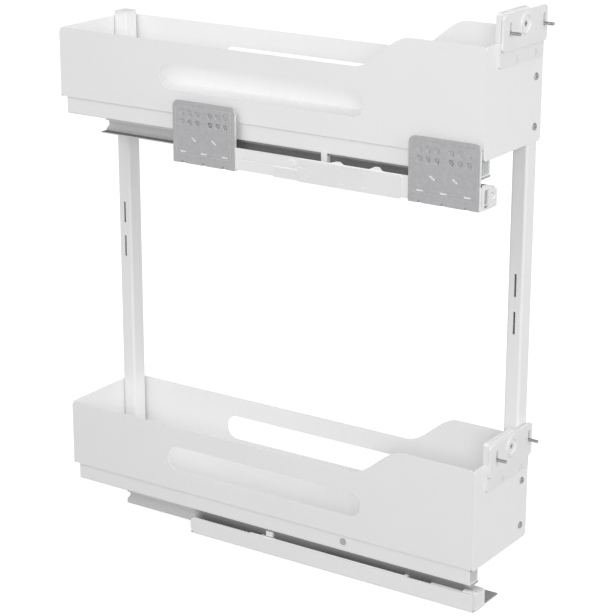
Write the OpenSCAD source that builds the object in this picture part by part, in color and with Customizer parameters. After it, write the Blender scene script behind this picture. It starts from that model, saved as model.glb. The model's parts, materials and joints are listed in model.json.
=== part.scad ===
// Two-tier pull-out basket for a narrow base cabinet, 150 mm wide outside.
// Both trays hang on one side: a runner on the cabinet's left wall carries the upper tray and a
// runner on the cabinet floor carries the lower one. Two posts join the trays at the far corners.
// X runs across the cabinet, -Y faces the door, +Z is up. The origin is the middle of the floor
// plate's row of fixing holes, on the cabinet floor.

/* [Trays] */
// Length of a tray, door end to rear end
tray_l = 471.5; // [430:0.5:520]
// Width of a tray over its side panels
tray_w = 103.3; // [98:0.1:140]
// Height of the side and rear panels
side_h = 67; // [55:0.5:80]
// Height of the front panel and of the raised end of the sides
front_h = 98; // [90:0.5:110]
// Thickness of the sheet steel
sheet_t = 1.2; // [0.8:0.1:1.5]
// Height of the upper tray above the lower tray
tier_gap = 385.5; // [300:0.5:450]
// Width of the folded flange under each side panel
flange_w = 8; // [6:0.5:10]
// Radius of the corners of the panels
corner_r = 4; // [1:0.5:6]
// Reach of the front panel below the side panels
front_over = 1.8; // [0:0.1:2.5]

/* [Side openings] */
// Length of the long opening in a side panel
slot_l = 228; // [120:1:240]
// Height of the opening
slot_h = 25; // [16:0.5:30]
// Height of the opening's middle above the panel's lower edge
slot_mid = 34; // [26:0.5:36]
// Distance from the door end to where the raised end becomes level
rise_end = 76; // [60:1:90]
// Length of the curve that leads up to the raised end
rise_l = 58; // [40:1:60]

/* [Side profile] */
// Width of the box profile under the left side panel
profile_w = 16; // [14:0.5:20]
// Height of the box profile
profile_h = 16.5; // [14:0.5:20]
// Wall of the box profile
profile_wall = 1.4; // [1:0.1:2]
// Distance from the side panel's outer face to the profile
profile_inset = 1.2; // [0.5:0.1:2]
// Distance from the rear panel's outer face to the profile's rear cap
profile_rear = 6.5; // [4:0.5:20]
// Distance from the front panel's outer face to the profile's front end
profile_in = 3; // [2:0.5:10]
// Depth of the plugs in the profile's ends
cap_t = 8; // [5:0.5:12]
// Radius of the profile's corners
profile_round = 1.2; // [0.8:0.1:3]
// Distance between the screws that hold a tray rail
rail_screw_pitch = 150; // [100:10:165]
// Distance from the tray's front to the screw in the lower profile's face
face_screw_in = 141; // [50:1:160]

/* [Posts] */
// Width of a post across the cabinet
post_w = 18; // [12:0.5:20]
// Depth of a post from door to rear
post_d = 15.5; // [10:0.5:18]
// Wall of a post
post_wall = 1.2; // [1:0.1:2]
// Radius of a post's corners
post_round = 2.5; // [1.5:0.5:4]
// Gap between a post and the far side panel
post_gap = 1.7; // [1.5:0.1:4]
// Height of the rear post above the rear panel
post_over = 3; // [1:0.5:8]
// Height of the front post above the upper tray's lower edge
front_post_h = 112; // [105:0.5:116]
// Thickness of the caps on the posts
post_cap_t = 2; // [1:0.5:4]
// Length of each slot in a post
post_slot_l = 22; // [10:1:30]
// Width of each slot in a post
post_slot_w = 2.2; // [1.5:0.1:3]
// Height from the upper tray down to the first slot
post_slot_drop = 124; // [90:1:140]
// Distance from the first slot to the second
post_slot_pitch = 36; // [32:1:50]
// Height of the lower fixing screw in a post
post_screw_low = 12.5; // [10:0.5:20]
// Height of the upper fixing screw in a post
post_screw_high = 58; // [40:0.5:60]

/* [Runners] */
// Travel of the trays
travel = 440; // [300:10:450]
// Length of the cabinet rails and their channels
rail_l = 324; // [310:2:360]
// Distance from the door end of the channels to the cabinet rails
rail_in = 14; // [8:1:15]
// Length of the middle rails
middle_l = 312; // [300:2:340]
// Length of the upper tray rail
upper_tray_rail_l = 419; // [390:1:420]
// Length of the lower tray rail
lower_tray_rail_l = 405; // [390:1:420]
// Distance from a tray rail's rear end to the end of its top flange
top_flange_in = 3.4; // [0.5:0.1:5]
// Height of a cabinet rail
rail_h = 18; // [17.5:0.5:20]
// Depth of a cabinet rail across the cabinet
rail_w = 8.2; // [8:0.1:9]
// Thickness of the rail steel
rail_t = 1.2; // [1:0.1:1.3]
// Thickness of the tray rails
tray_rail_t = 1.5; // [1.2:0.1:1.5]
// Distance from the box profile down to the middle of the rails
rail_drop = 13.4; // [13:0.1:16]
// Distance from the tray's outer face to the tray rail's upright
web_in = 6.15; // [5.5:0.05:7]
// Reach of the tray rail's top lip towards the cabinet wall
lip_w = 4; // [2:0.5:4.5]
// Reach of the upper tray rail's hook flange towards the cabinet wall
hook_w = 8.1; // [5:0.1:8.1]
// Distance from the tray's front to the tray rails
tray_rail_in = 2; // [1:0.5:4]
// Diameter of the outer balls
outer_ball_d = 2.4; // [2.2:0.1:2.4]
// Diameter of the inner balls
inner_ball_d = 1.8; // [1.6:0.1:1.9]
// Length of an outer ball cage
outer_cage_l = 90; // [60:5:90]
// Length of an inner ball cage
inner_cage_l = 165; // [90:5:165]
// Distance between balls
ball_pitch = 18; // [12:1:24]

/* [Floor runner] */
// Width of the floor plate
floor_w = 47.5; // [44:0.5:60]
// Thickness of the floor plate
floor_t = 1.5; // [1.2:0.1:3]
// Distance from the floor plate's far edge to its holes
floor_hole_in = 16; // [12:0.5:18]
// Distance between the floor plate's holes
floor_pitch = 96; // [64:32:96]
// Radius of the floor plate's holes
floor_hole_r = 2.5; // [2:0.25:3]
// Height of the lower channel
low_channel_h = 15.5; // [13:0.5:17]
// Wall of both channels
channel_t = 1.6; // [1.2:0.1:1.8]

/* [Wall plates] */
// Distance from the cabinet wall to the tray
wall_gap = 7.35; // [7:0.05:12]
// Length of a wall plate
plate_l = 71.5; // [68:0.5:90]
// Height of a wall plate
plate_h = 59.5; // [56:0.5:80]
// Thickness of a wall plate
plate_t = 1.5; // [1.2:0.1:2]
// Width of the plate's bottom flange
plate_foot = 29; // [26:0.5:30]
// Width of the plate's folded front edge
plate_edge = 3; // [2.5:0.1:5.2]
// Distance from the front wall plate's middle to the tray's front
front_plate_y = 35; // [34:1:60]
// Distance between the two wall plates
plate_pitch = 258.5; // [224:0.5:262]
// Distance between the two groups of holes in a plate
hole_group = 32; // [30:1:34]
// Distance between neighbouring holes in a group
hole_pitch = 8.8; // [7:0.1:9.4]
// Radius of the holes in a wall plate
plate_hole_r = 2.75; // [2:0.05:3]
// Distance from the plate's top edge to the upper row of holes
hole_top = 11; // [9:0.5:14]
// Height of the upper channel
high_channel_h = 20.6; // [18:0.1:21]
// Height of the ribs that carry the upper cabinet rail
rib_h = 2.5; // [1:0.1:4]
// Length of the soft-close unit's cover
cover_l = 109; // [100:1:110]
// Distance from the front wall plate's middle to the cover
cover_in = 44; // [42:1:50]

/* [Soft close] */
// Travel of a catch
catch_travel = 38; // [20:1:40]
// Length of a catch
catch_l = 16; // [12:1:20]
// Diameter of a damper
damper_d = 4.8; // [4:0.1:5]
// Length of a damper cylinder
damper_l = 56; // [52:1:60]
// Diameter of a damper's rod
rod_d = 1.6; // [1:0.1:2]
// Mean diameter of a closing spring
spring_d = 2.5; // [2:0.1:2.5]
// Diameter of the spring wire
wire_d = 0.6; // [0.5:0.05:0.7]
// Number of curls in the upper closing spring
upper_curls = 30; // [20:1:40]
// Number of curls in the lower closing spring
lower_curls = 40; // [20:1:44]
// Length of the upper closing spring
upper_spring_l = 69; // [66:1:69]
// Length of the lower closing spring
lower_spring_l = 95; // [90:1:95]
// Wall of the closers' housings
closer_wall = 0.8; // [0.6:0.1:0.8]
// Distance from the tray's front to the upper driver
upper_driver_in = 160.6; // [140:0.2:180]
// Distance from the tray's front to the lower driver
lower_driver_in = 223.6; // [200:0.2:230]

/* [Door brackets] */
// Width of a door bracket
bracket_w = 80; // [76:1:80]
// Distance from the tray's middle to the bracket's middle
bracket_off = 8; // [5:0.5:9]
// Height of the bracket's lower edge on the upper tray
bracket_low = 76; // [72:0.5:80]
// Height of the bracket's top on the upper tray
bracket_top = 121.5; // [118:0.5:126]
// Distance by which the lower tray's bracket sits lower
bracket_drop = 6; // [2:0.5:8]
// Thickness of the bracket's base plate
base_t = 2.4; // [2:0.1:3]
// Thickness of the bracket's carrier
carrier_t = 2.3; // [2:0.1:3]
// Height of the carrier's lower edge on the upper tray
carrier_low = 90; // [84:0.5:91]
// Distance between the two door screws
door_pitch = 61; // [56:1:62]
// Distance from the bracket's middle to the middle of its door screws
door_screw_off = 3.5; // [2:0.5:4]
// Height of the door screws on the upper tray
door_screw_h = 105.5; // [102:0.5:108]
// Length of a door screw in front of the bracket
door_screw_l = 11; // [8:0.5:16]
// Radius of a door screw
door_screw_r = 1.5; // [1:0.1:1.8]
// Height adjustment of a bracket, each way
lift = 2; // [1:0.5:2.5]

/* [Hidden] */

round_fn = 48;

// clearances
gap = 0.3;
slide_gap = 0.4;
ball_gap = 0.1;
shaft_gap = 0.05;
hole_gap = 0.1;

// fasteners
post_screw_r = 1.6;
post_screw_l = 9;
rail_screw_r = 1.5;
face_screw_r = 1.7;
base_screw_r = 1.5;
rivet_r = 1.5;
door_head_r = 3.6;
screw_room = door_head_r + 0.9;
neck_over = 0.4;
carrier_slot = 7.5;

// places across the cabinet
plate_near_x = floor_hole_in - floor_w;
low_near_x = plate_near_x;
web_x = low_near_x + 6;
near_x = web_x - web_in;
far_x = near_x + tray_w;
mid_x = (near_x + far_x) / 2;
wall_x = near_x - wall_gap;
high_near_x = wall_x + plate_t;

// places from door to rear
rail_front = -rail_l / 2;
rail_rear = rail_l / 2;
front_y = rail_front + 2;
rear_y = front_y + tray_l;

// heights
low_rail_z = floor_t + channel_t + rail_h / 2;
low_tray_z = low_rail_z + rail_drop + profile_h;
high_tray_z = low_tray_z + tier_gap;
high_rail_z = high_tray_z - profile_h - rail_drop;
foot_top = high_rail_z - rail_h / 2 - rib_h - channel_t;

// cross-section of the nested rails, measured from the upright's near face and the rails' middle
track_s = tray_rail_t + 0.5;
back_s = track_s + rail_w;
outer_in = rail_h / 2 - rail_t;
mid_out = outer_in - outer_ball_d - 2 * ball_gap;
mid_in = mid_out - 1;
inner_out = mid_in - inner_ball_d - 2 * ball_gap;
inner_in = inner_out - 1;
mid_back = back_s - rail_t - 1.2;
inner_end = mid_back - 2.2;

outer_cage_front = rail_front + 4 + travel / 4;
inner_cage_front = -middle_l / 2 + 9 + travel / 4;

// posts
post_far_x = far_x - sheet_t - post_gap;
post_near_x = post_far_x - post_w;
front_post_y = front_y + sheet_t;
rear_post_y = rear_y - sheet_t - post_d;
post_mid_x = (post_near_x + post_far_x) / 2;
post_foot = low_tray_z + 2 * sheet_t;

// brackets
door_y = front_y - base_t - gap - carrier_t;
bracket_x = mid_x + bracket_off;
bracket_left = bracket_x - bracket_w / 2;
bracket_right = bracket_x + bracket_w / 2;
block_right = bracket_x + 16;
block_d = 2.6;
block_over = 2.5;
base_screw_x = [bracket_x - 10, bracket_x + 24];
door_screw_x = [for (side = [-0.5, 0.5]) bracket_x + door_screw_off + side * door_pitch];
clamp_h = 110;
clamp_head_r = 2.5;
clamp_pin_r = 1.5;
clamp_end_r = 2.8;
clamp_end_t = 1.2;
clamp_room = clamp_pin_r + gap;
rim_r = 9.4;
rim_w = 2.2;
rim_t = 1.4;

// soft close: the damper's and the spring's axes, [x, z], for the upper and the lower runner
high_floor_z = foot_top + channel_t;
low_floor_z = floor_t + channel_t;
high_wall_t = 1.3;
spring_r = (spring_d + wire_d) / 2;
high_inner_x = high_near_x + high_wall_t;
low_inner_x = low_near_x + channel_t;
high_damper = [high_inner_x + closer_wall + 0.1 + damper_d / 2, high_floor_z + damper_d / 2 + 0.2];
low_damper = [low_inner_x + closer_wall + 0.1 + damper_d / 2, low_floor_z + damper_d / 2 + 0.2];
high_spring = [high_damper[0], high_rail_z - slide_gap - spring_r];
low_spring = [low_inner_x + closer_wall + 0.1 + spring_r, floor_t + low_channel_h - spring_r - 0.4];

// soft close: places from door to rear
upper_catch_back = 8.6;
lower_catch_back = 1.6;
lower_pusher_l = 53;
upper_driver_y = front_y + upper_driver_in;
lower_driver_y = front_y + lower_driver_in;
upper_catch_y = upper_driver_y - upper_catch_back;
lower_catch_y = lower_driver_y - lower_catch_back;
upper_spring_rear = upper_catch_y - 0.1;
lower_spring_rear = lower_catch_y - lower_pusher_l;
upper_spring_front = upper_spring_rear - upper_spring_l;
lower_spring_front = lower_spring_rear - lower_spring_l;
closer_block = 4;
nose_gap = 12;

white = [0.93, 0.93, 0.93];
panel_white = [0.90, 0.90, 0.91];
steel = [0.74, 0.75, 0.76];
grey = [0.60, 0.61, 0.63];

// ---------------------------------------------------------------- helpers

// a 2D outline in X and Z, drawn out along Y
module along_y(y0, y1) translate([0, y1, 0]) rotate([90, 0, 0]) linear_extrude(y1 - y0) children();

// a 2D outline in Y and Z, drawn out along X
module along_x(x0, x1) translate([x0, 0, 0]) rotate([90, 0, 90]) linear_extrude(x1 - x0) children();

// a 2D outline in X and Y, drawn out along Z
module upright(z0, z1) translate([0, 0, z0]) linear_extrude(z1 - z0) children();

module box(x0, x1, y0, y1, z0, z1) translate([x0, y0, z0]) cube([x1 - x0, y1 - y0, z1 - z0]);

module bar(a0, a1, b0, b1) translate([a0, b0]) square([a1 - a0, b1 - b0]);

// a rectangle with four rounded corners
module rounded(a0, a1, b0, b1, r) {
    bar(a0 + r, a1 - r, b0, b1);
    bar(a0, a1, b0 + r, b1 - r);
    for (a = [a0 + r, a1 - r], b = [b0 + r, b1 - r]) translate([a, b]) circle(r, $fn = round_fn);
}

// a slot with round ends that runs along the first axis
module slot2d(a0, a1, b, r) {
    bar(a0 + r, a1 - r, b - r, b + r);
    for (a = [a0 + r, a1 - r]) translate([a, b]) circle(r, $fn = round_fn);
}

// a pin along Y from y0 to y1
module pin_y(x, z, y0, y1, r) translate([x, y1, z]) rotate([90, 0, 0]) cylinder(h = y1 - y0, r = r, $fn = round_fn);

// a pin along X from x0 to x1
module pin_x(y, z, x0, x1, r) translate([x0, y, z]) rotate([0, 90, 0]) cylinder(h = x1 - x0, r = r, $fn = round_fn);

// points on an arc about [a, b]
function arc(a, b, r, from, to, n = 6) =
    [for (i = [0:n]) let (u = from + (to - from) * i / n) [a + r * cos(u), b + r * sin(u)]];

// ---------------------------------------------------------------- trays

// outline of a side panel in Y and Z: level at the rear, an S-shaped rise, then a high level end
module side_outline() {
    f = front_y + sheet_t;
    r = rear_y - sheet_t;
    top = front_y + rise_end;
    steps = 24;
    rise = [for (i = [0:steps]) let (u = i / steps)
        [top + rise_l * (1 - u), side_h + (front_h - side_h) * (1 - cos(180 * u)) / 2]];
    polygon(concat([[f, 0]],
        arc(r - corner_r, corner_r, corner_r, -90, 0),
        arc(r - corner_r, side_h - corner_r, corner_r, 0, 90),
        rise,
        arc(f + corner_r, front_h - corner_r, corner_r, 90, 180)));
}

// a side panel: upright sheet from x0 with its folded flange towards the tray's inside
module side_panel(x0, inward) {
    mid_y = (front_y + rear_y) / 2;
    flange_x = inward > 0 ? x0 + sheet_t : x0 - flange_w;
    along_x(x0, x0 + sheet_t) difference() {
        side_outline();
        slot2d(mid_y - slot_l / 2, mid_y + slot_l / 2, slot_mid, slot_h / 2);
    }
    difference() {
        box(flange_x, flange_x + flange_w, front_y + 2 * sheet_t, rear_y - 2 * sheet_t, 0, sheet_t);
        if (inward < 0) post_holes(sheet_t);
    }
}

// room for the two posts in a sheet of thickness t
module post_holes(t) {
    for (y = [front_post_y, rear_post_y])
        box(post_near_x - gap, post_far_x + gap, y - 2, y + post_d + 2, -1, t + 1);
}

// outline of an end panel of height h in X and Z, with its lower near corner left square
module end_outline(h) {
    rounded(near_x, far_x, 0, h, corner_r);
    bar(near_x, near_x + 2 * corner_r, 0, 2 * corner_r);
}

// outline of the front panel, whose lower edge covers the sheets behind it
module front_outline() rounded(near_x, far_x, -front_over, front_h, corner_r);

module front_panel(drop) {
    difference() {
        along_y(front_y, front_y + sheet_t) front_outline();
        for (z = [post_screw_low, post_screw_high])
            pin_y(post_mid_x, z, front_y - 1, front_y + sheet_t + 1, post_screw_r + hole_gap);
        translate([0, 0, -drop]) base_screw_holes(front_y - 1, front_y + sheet_t + 1);
    }
}

module rear_panel() {
    difference() {
        along_y(rear_y - sheet_t, rear_y) end_outline(side_h);
        for (z = [post_screw_low, post_screw_high])
            pin_y(post_mid_x, z, rear_y - sheet_t - 1, rear_y + 1, post_screw_r + hole_gap);
    }
}

// floor sheet lying on the side panels' flanges
module floor_sheet(posts) {
    difference() {
        box(near_x + sheet_t, far_x - sheet_t, front_y + sheet_t, rear_y - sheet_t, sheet_t, 2 * sheet_t);
        if (posts) translate([0, 0, sheet_t]) post_holes(sheet_t);
    }
}

module on_high() translate([0, 0, high_tray_z]) children();
module on_low() translate([0, 0, low_tray_z]) children();

module upper_near_side() color(panel_white) on_high() side_panel(near_x, 1);
module upper_far_side() color(panel_white) on_high() side_panel(far_x - sheet_t, -1);
module upper_front_panel() color(panel_white) on_high() front_panel(0);
module upper_rear_panel() color(panel_white) on_high() rear_panel();
module upper_floor() color(panel_white) on_high() floor_sheet(true);
module lower_near_side() color(panel_white) on_low() side_panel(near_x, 1);
module lower_far_side() color(panel_white) on_low() side_panel(far_x - sheet_t, -1);
module lower_front_panel() color(panel_white) on_low() front_panel(bracket_drop);
module lower_rear_panel() color(panel_white) on_low() rear_panel();
module lower_floor() color(panel_white) on_low() floor_sheet(false);

// ---------------------------------------------------------------- side profiles

profile_x = near_x + profile_inset;
profile_front = front_y + profile_in;
profile_end = rear_y - profile_rear;
cap_set = 0.6;
cap_groove = 0.8;

// hollow box profile under the left side panel
module side_profile(face_screw) {
    difference() {
        along_y(profile_front, profile_end) difference() {
            rounded(profile_x, profile_x + profile_w, -profile_h, 0, profile_round);
            rounded(profile_x + profile_wall, profile_x + profile_w - profile_wall,
                -profile_h + profile_wall, -profile_wall, max(profile_round - profile_wall, 0.3));
        }
        rail_screw_holes(-profile_h);
        if (face_screw) pin_x(face_screw_y, face_screw_z, profile_x - 1, profile_x + profile_wall + 1,
            face_screw_r + hole_gap);
    }
}

rail_screw_x = web_x + tray_rail_t + 4.5;
rail_screw_y = [for (i = [0:2]) front_y + 30 + rail_screw_pitch * i];
face_screw_y = front_y + face_screw_in;
face_screw_z = -6.7;

// holes for the screws between a tray rail and a side profile, about the height z
module rail_screw_holes(z) for (y = rail_screw_y) translate([rail_screw_x, y, z - 4])
    cylinder(h = 8, r = rail_screw_r + hole_gap, $fn = round_fn);

// ribbed plastic plug inside the profile's end, whose outer face looks towards dir
module end_cap(face_y, dir) {
    ribs = 4;
    step = profile_w / ribs;
    y = [face_y, face_y - dir * cap_t];
    cut = [face_y + dir, face_y - dir * cap_groove];
    room = profile_wall + hole_gap;
    difference() {
        along_y(min(y), max(y)) rounded(profile_x + room, profile_x + profile_w - room,
            -profile_h + room, -room, 0.5);
        for (i = [1:ribs - 1])
            box(profile_x + i * step - 0.5, profile_x + i * step + 0.5, min(cut), max(cut),
                -profile_h + 2 * room, -2 * room);
    }
}

module upper_side_profile() color(panel_white) on_high() side_profile(false);
module lower_side_profile() color(panel_white) on_low() side_profile(true);
module profile_end_caps() color(grey)
    for (z = [low_tray_z, high_tray_z]) translate([0, 0, z]) {
        end_cap(profile_front + cap_set, -1);
        end_cap(profile_end - cap_set, 1);
    }

// ---------------------------------------------------------------- posts

// a box section upright with two slots in its near face
module post(y0, top, outer_y) {
    slot_y = y0 + post_d / 2;
    difference() {
        upright(post_foot, top) rounded(post_near_x, post_far_x, y0, y0 + post_d, post_round);
        upright(post_foot - 1, top + 1) rounded(post_near_x + post_wall, post_far_x - post_wall,
            y0 + post_wall, y0 + post_d - post_wall, post_round - post_wall);
        for (i = [0, 1])
            box(post_near_x - 1, post_near_x + post_wall + 1,
                slot_y - post_slot_w / 2, slot_y + post_slot_w / 2,
                high_tray_z - post_slot_drop - i * post_slot_pitch - post_slot_l,
                high_tray_z - post_slot_drop - i * post_slot_pitch);
        for (z = [low_tray_z, high_tray_z], h = [post_screw_low, post_screw_high])
            pin_y(post_mid_x, z + h, outer_y - post_wall - 1, outer_y + post_wall + 1,
                post_screw_r + hole_gap);
    }
}

module post_cap(y0, top) {
    upright(top, top + post_cap_t) rounded(post_near_x, post_far_x, y0, y0 + post_d, post_round);
    box(post_near_x + post_wall + gap, post_far_x - post_wall - gap,
        y0 + post_wall + gap, y0 + post_d - post_wall - gap, top - 6, top);
}

rear_post_top = high_tray_z + side_h + post_over;
front_post_top = high_tray_z + front_post_h;

module front_post() color(panel_white) post(front_post_y, front_post_top, front_post_y);
module rear_post() color(panel_white) post(rear_post_y, rear_post_top, rear_post_y + post_d);
module post_caps() color(white) {
    post_cap(front_post_y, front_post_top);
    post_cap(rear_post_y, rear_post_top);
}

// pan head screw along Y: the head's seat is at y, the shank runs the way dir points
module screw_y(x, z, y, dir, l, r = post_screw_r, head_r = 3.4, head_h = 1.6) {
    translate([x, y, z]) rotate([dir > 0 ? -90 : 90, 0, 0]) difference() {
        union() {
            cylinder(h = l, r = r, $fn = round_fn);
            translate([0, 0, -head_h]) cylinder(h = head_h, r = head_r, $fn = round_fn);
        }
        for (a = [0, 90]) rotate([0, 0, a])
            translate([-head_r * 0.55, -0.4, -head_h - 1]) cube([head_r * 1.1, 0.8, 1.8]);
    }
}

module post_screws() color(steel)
    for (z = [low_tray_z, high_tray_z], h = [post_screw_low, post_screw_high]) {
        screw_y(post_mid_x, z + h, front_y, 1, post_screw_l);
        screw_y(post_mid_x, z + h, rear_y, -1, post_screw_l);
    }

// ---------------------------------------------------------------- runners

// cabinet rail: a channel that opens towards the tray rail's upright
module cabinet_rail(z) {
    along_y(rail_front + rail_in, rail_rear) translate([web_x, z]) {
        bar(back_s - rail_t, back_s, -rail_h / 2, rail_h / 2);
        bar(track_s, back_s, outer_in, rail_h / 2);
        bar(track_s, back_s, -rail_h / 2, -outer_in);
    }
}

module middle_rail(z) {
    along_y(-middle_l / 2, middle_l / 2) translate([web_x, z]) {
        bar(mid_back - 1, mid_back, -mid_out, mid_out);
        bar(track_s + 0.3, mid_back, mid_in, mid_out);
        bar(track_s + 0.3, mid_back, -mid_out, -mid_in);
    }
}

// tray rail: top flange under the side profile, an upright, and two legs inside the middle rail
module tray_rail(z, l, hook) {
    y0 = front_y + tray_rail_in;
    along_y(y0, y0 + l - top_flange_in) translate([web_x, z])
        bar(-lip_w, tray_rail_t + 9, rail_drop - tray_rail_t, rail_drop);
    along_y(y0, y0 + l) translate([web_x, z]) {
        bar(0, tray_rail_t, -inner_out, rail_drop - tray_rail_t);
        bar(0, inner_end, inner_in, inner_out);
        bar(0, inner_end, -inner_out, -inner_in);
        if (hook > 0) bar(-hook, 0, 0, 1);
    }
}

module tray_rail_with_holes(z, l, hook) difference() {
    end = front_y + tray_rail_in + l;
    tray_rail(z, l, hook);
    rail_screw_holes(z + rail_drop);
    along_x(web_x - 1, web_x + tray_rail_t + 1)
        polygon([[end + 1, z + 1.6], [end - 4, z + 7],
            [end - top_flange_in, z + rail_drop - tray_rail_t - 0.5],
            [end - top_flange_in, z + rail_drop], [end + 1, z + rail_drop]]);
    if (hook > 0) along_x(web_x - 1, web_x + tray_rail_t + 1) {
        y0 = front_y + tray_rail_in;
        top = z + rail_drop - tray_rail_t;
        polygon([[y0 - 1, z + 3], [y0 + 3, z + 3], [y0 + 12, top - 3], [y0 + 12, top], [y0 - 1, top]]);
    }
}

// a ball cage: strips above and below joined by an upright, with a row of balls in each strip
module cage(z, y0, l, s0, s1, t, ball_s, ball_d) {
    n = floor((l - 8) / ball_pitch);
    start = y0 + (l - n * ball_pitch) / 2;
    strip = 0.4;
    translate([web_x, 0, z]) {
        difference() {
            along_y(y0, y0 + l) {
                bar(s1 - strip, s1, -t, t);
                bar(s0, s1, t - strip / 2, t + strip / 2);
                bar(s0, s1, -t - strip / 2, -t + strip / 2);
            }
            for (i = [0:n], side = [-1, 1]) translate([ball_s, start + i * ball_pitch, side * t - 1])
                cylinder(h = 2, r = ball_d / 2 + ball_gap, $fn = round_fn);
        }
        for (i = [0:n], side = [-1, 1]) translate([ball_s, start + i * ball_pitch, side * t])
            sphere(d = ball_d, $fn = 24);
    }
}

module outer_cage(z) cage(z, outer_cage_front, outer_cage_l, track_s + 1, mid_back + 0.8,
    (outer_in + mid_out) / 2, track_s + 1 + outer_ball_d / 2 + 0.6, outer_ball_d);
module inner_cage(z) cage(z, inner_cage_front, inner_cage_l, track_s + 0.6, mid_back - 1.4,
    (mid_in + inner_out) / 2, track_s + 0.6 + inner_ball_d / 2 + 0.4, inner_ball_d);

module upper_cabinet_rail() color(steel) cabinet_rail(high_rail_z);
module lower_cabinet_rail() color(steel) cabinet_rail(low_rail_z);
module upper_middle_rail() color(steel) middle_rail(high_rail_z);
module lower_middle_rail() color(steel) middle_rail(low_rail_z);
module upper_tray_rail() color(grey) tray_rail_with_holes(high_rail_z, upper_tray_rail_l, hook_w);
module lower_tray_rail() color(grey) tray_rail_with_holes(low_rail_z, lower_tray_rail_l, 0);
module upper_outer_cage() color(steel) outer_cage(high_rail_z);
module upper_inner_cage() color(steel) inner_cage(high_rail_z);
module lower_outer_cage() color(steel) outer_cage(low_rail_z);
module lower_inner_cage() color(steel) inner_cage(low_rail_z);

// ---------------------------------------------------------------- floor runner

module floor_plate() color(steel) difference() {
    box(plate_near_x, plate_near_x + floor_w, rail_front, rail_rear, 0, floor_t);
    for (i = [-1.5:1.5]) translate([0, i * floor_pitch, -1])
        cylinder(h = floor_t + 2, r = floor_hole_r, $fn = round_fn);
}

channel_far_x = web_x + back_s + channel_t;
channel_lip = 4;
rivet_y = [rail_front + 20, -40, 40, rail_rear - 20];

// holes for the rivets in a channel's far wall
module rivet_holes(z) for (y = rivet_y)
    pin_x(y, z, channel_far_x - channel_t - 1, channel_far_x + 1, rivet_r + hole_gap);

// white channel that carries the lower cabinet rail; its near wall has round rear corners
module lower_channel() color(white) {
    round_r = 5;
    difference() {
        along_x(low_near_x, low_near_x + channel_t) {
            bar(rail_front, rail_rear - round_r, floor_t, floor_t + low_channel_h);
            rounded(rail_rear - 3 * round_r, rail_rear, floor_t, floor_t + low_channel_h, round_r);
        }
        for (y = [rail_front + 4, rail_front + 7])
            box(low_near_x - 1, low_near_x + 0.5, y, y + 1, floor_t + 3.5, floor_t + 11.5);
    }
    box(low_near_x + channel_t, channel_far_x, rail_front, rail_rear - round_r, floor_t, low_floor_z);
    difference() {
        box(channel_far_x - channel_t, channel_far_x, rail_front, rail_rear - round_r,
            low_floor_z, low_rail_z + channel_lip);
        rivet_holes(low_rail_z);
    }
}

// block between the channel's near wall and the tray rail's upright, at the door end
module lower_front_guide() color(white)
    box(low_near_x + channel_t, web_x - slide_gap, rail_front, rail_front + 47,
        low_floor_z, floor_t + low_channel_h);

// ---------------------------------------------------------------- wall runner

plate_low = foot_top - plate_t;
front_plate_mid = front_y + front_plate_y;
cover_front = front_plate_mid + cover_in;
cover_rear = cover_front + cover_l;
groove_h = 9.7;
groove_l = 70;
ramps = [[25, 3.2], [66, 2.2]];
cover_slots = [34, 58];
latch_l = 27;
boss_in = 6.6;
boss_h = 14.5;
boss_r = 3.2;

// diagonal or level lance pressed through a plate
module lance(y, z, l, w, turn) translate([y, z]) rotate(turn) bar(-l / 2, l / 2, -w / 2, w / 2);

// pressed steel plate for the cabinet wall: holes, lances, a border groove, a folded front edge
// and a foot that carries the runner
module wall_plate(mid) {
    y0 = mid - plate_l / 2;
    y1 = mid + plate_l / 2;
    top = plate_low + plate_h;
    row = top - hole_top;
    border = 3.5;
    difference() {
        along_x(wall_x, wall_x + plate_t) difference() {
            union() {
                bar(y0, y1, plate_low, top - 6);
                rounded(y0, y1, top - 20, top, 6);
            }
            for (g = [-0.5, 0.5], c = [-1:1], r = [0, 1])
                translate([mid + g * hole_group + c * hole_pitch, row - r * hole_pitch])
                    circle(plate_hole_r, $fn = round_fn);
            for (side = [-1, 1]) lance(mid + side * 11.5, row - 24.7, 6, 1.6, 35);
            for (side = [-1:1]) lance(mid + side * 24, row - 37.2, 7, 1.8, 0);
            for (side = [-1:1]) bar(mid + side * 23.5 - 2, mid + side * 23.5 + 2, plate_low - 1, plate_low + 2.4);
        }
        along_x(wall_x - 1, wall_x + 0.4) difference() {
            rounded(y0 + border, y1 - border, plate_low + 9, top - border, 4);
            rounded(y0 + border + 1.2, y1 - border - 1.2, plate_low + 10.2, top - border - 1.2, 2.8);
        }
    }
    box(wall_x + plate_t, wall_x + plate_edge, y0, y0 + plate_t, foot_top + high_channel_h + gap, top - 6);
    box(wall_x + plate_t, wall_x + plate_foot, y0, y1, plate_low, plate_low + plate_t);
}

module front_wall_plate() color(steel) wall_plate(front_plate_mid);
module rear_wall_plate() color(steel) wall_plate(front_plate_mid + plate_pitch);

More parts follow.
